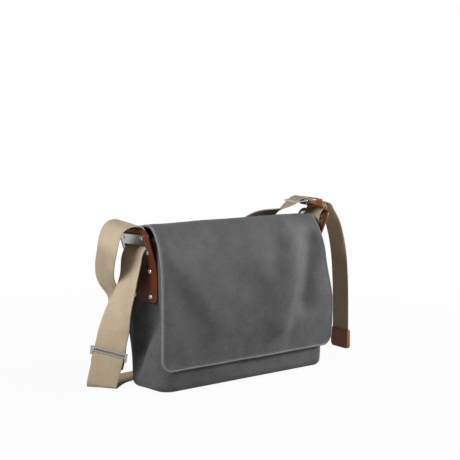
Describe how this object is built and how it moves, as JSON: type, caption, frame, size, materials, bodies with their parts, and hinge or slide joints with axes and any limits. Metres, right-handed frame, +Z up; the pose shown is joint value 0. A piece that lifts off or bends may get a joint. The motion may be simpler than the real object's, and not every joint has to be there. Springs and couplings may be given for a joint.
{
  "type": "messenger bag",
  "caption": "Canvas messenger bag with a wide front flap, padded divider, leather side panels, steel brackets and an adjustable webbing shoulder strap with sliders and a hanging end.",
  "frame": {"origin": "bottom centre of the bag's body, on the surface it stands on", "axes": "+X to the viewer's right across the bag, -Y out of the front flap, +Z up"},
  "size_m": [0.551, 0.1855, 0.2973],
  "materials": {
    "canvas": "waxed, brushed, mottled grey",
    "binding": "light grey woven edge binding",
    "lining": "matt woven lining",
    "tape": "woven tape",
    "board": "matt",
    "leather": "oiled, with lighter cut edges",
    "leather_trim": "smooth orange-brown",
    "leather_dark": "dark brown, stitched",
    "steel": "polished nickel",
    "snap_metal": "satin",
    "webbing": "ribbed cotton webbing"
  },
  "bodies": {
    "bag": {"front_panel": "canvas", "back_panel": "canvas", "base_panel": "canvas", "left_gusset": "canvas", "right_gusset": "canvas", "base_board": "board", "laptop_divider": "lining", "inner_pocket": "lining", "mouth_tape": "tape", "snap_bases": "snap_metal", "left_side_panel": "leather", "right_side_panel": "leather", "left_bracket": "steel", "right_bracket": "steel", "left_bracket_backplate": "steel", "right_bracket_backplate": "steel", "left_bracket_rivets": "steel", "right_bracket_rivets": "steel", "left_panel_rivets": "steel", "right_panel_rivets": "steel", "left_loop_strap": "webbing", "shoulder_strap": "webbing", "right_anchor_strap": "webbing"},
    "flap_top": {"flap_top_panel": "canvas", "flap_top_binding": "binding"},
    "flap_front": {"flap_front_panel": "canvas", "flap_front_binding": "binding", "snap_caps": "snap_metal"},
    "left_slider": {"left_slider": "steel", "left_strap_patch": "leather_trim"},
    "strap_end": {"right_slider": "steel"},
    "keeper": {"right_keeper": "leather_trim"},
    "tail": {"strap_tail": "webbing", "tail_tip": "leather_dark"}
  },
  "joints": [
    {"name": "flap_top_hinge", "type": "hinge", "parent": "bag", "child": "flap_top", "pos_m": [0, 0.0345, 0.256], "axis": [-1, 0, 0], "range_deg": [0, 85]},
    {"name": "flap_front_hinge", "type": "hinge", "parent": "flap_top", "child": "flap_front", "pos_m": [0, -0.016, 0.2685], "axis": [-1, 0, 0], "range_deg": [0, 38]},
    {"name": "strap_aside", "type": "hinge", "parent": "bag", "child": "strap_end", "pos_m": [0.21844, -0.01935, 0.26441], "axis": [-0.1223, 0.8264, 0.5496], "range_deg": [0, 112.62], "deforming": ["shoulder_strap", "right_anchor_strap"]},
    {"name": "left_slider_slide", "type": "slide", "parent": "bag", "child": "left_slider", "axis": [0.0158, -0.3162, 0.9486], "range_m": [-0.018, 0.025], "deforming": ["left_loop_strap"]},
    {"name": "keeper_slide", "type": "slide", "parent": "strap_end", "child": "keeper", "axis": [-0.941, 0.2744, 0.1981], "range_m": [0, 0.005], "deforming": ["shoulder_strap", "right_anchor_strap"]},
    {"name": "tail_swing", "type": "hinge", "parent": "bag", "child": "tail", "pos_m": [0.2218, -0.0099, 0.2828], "axis": [0, -1, 0], "range_deg": [0, 18]}
  ],
  "couplings": [
    {"joint": "strap_aside", "follows": "flap_top_hinge", "ratio": 1.325}
  ]
}
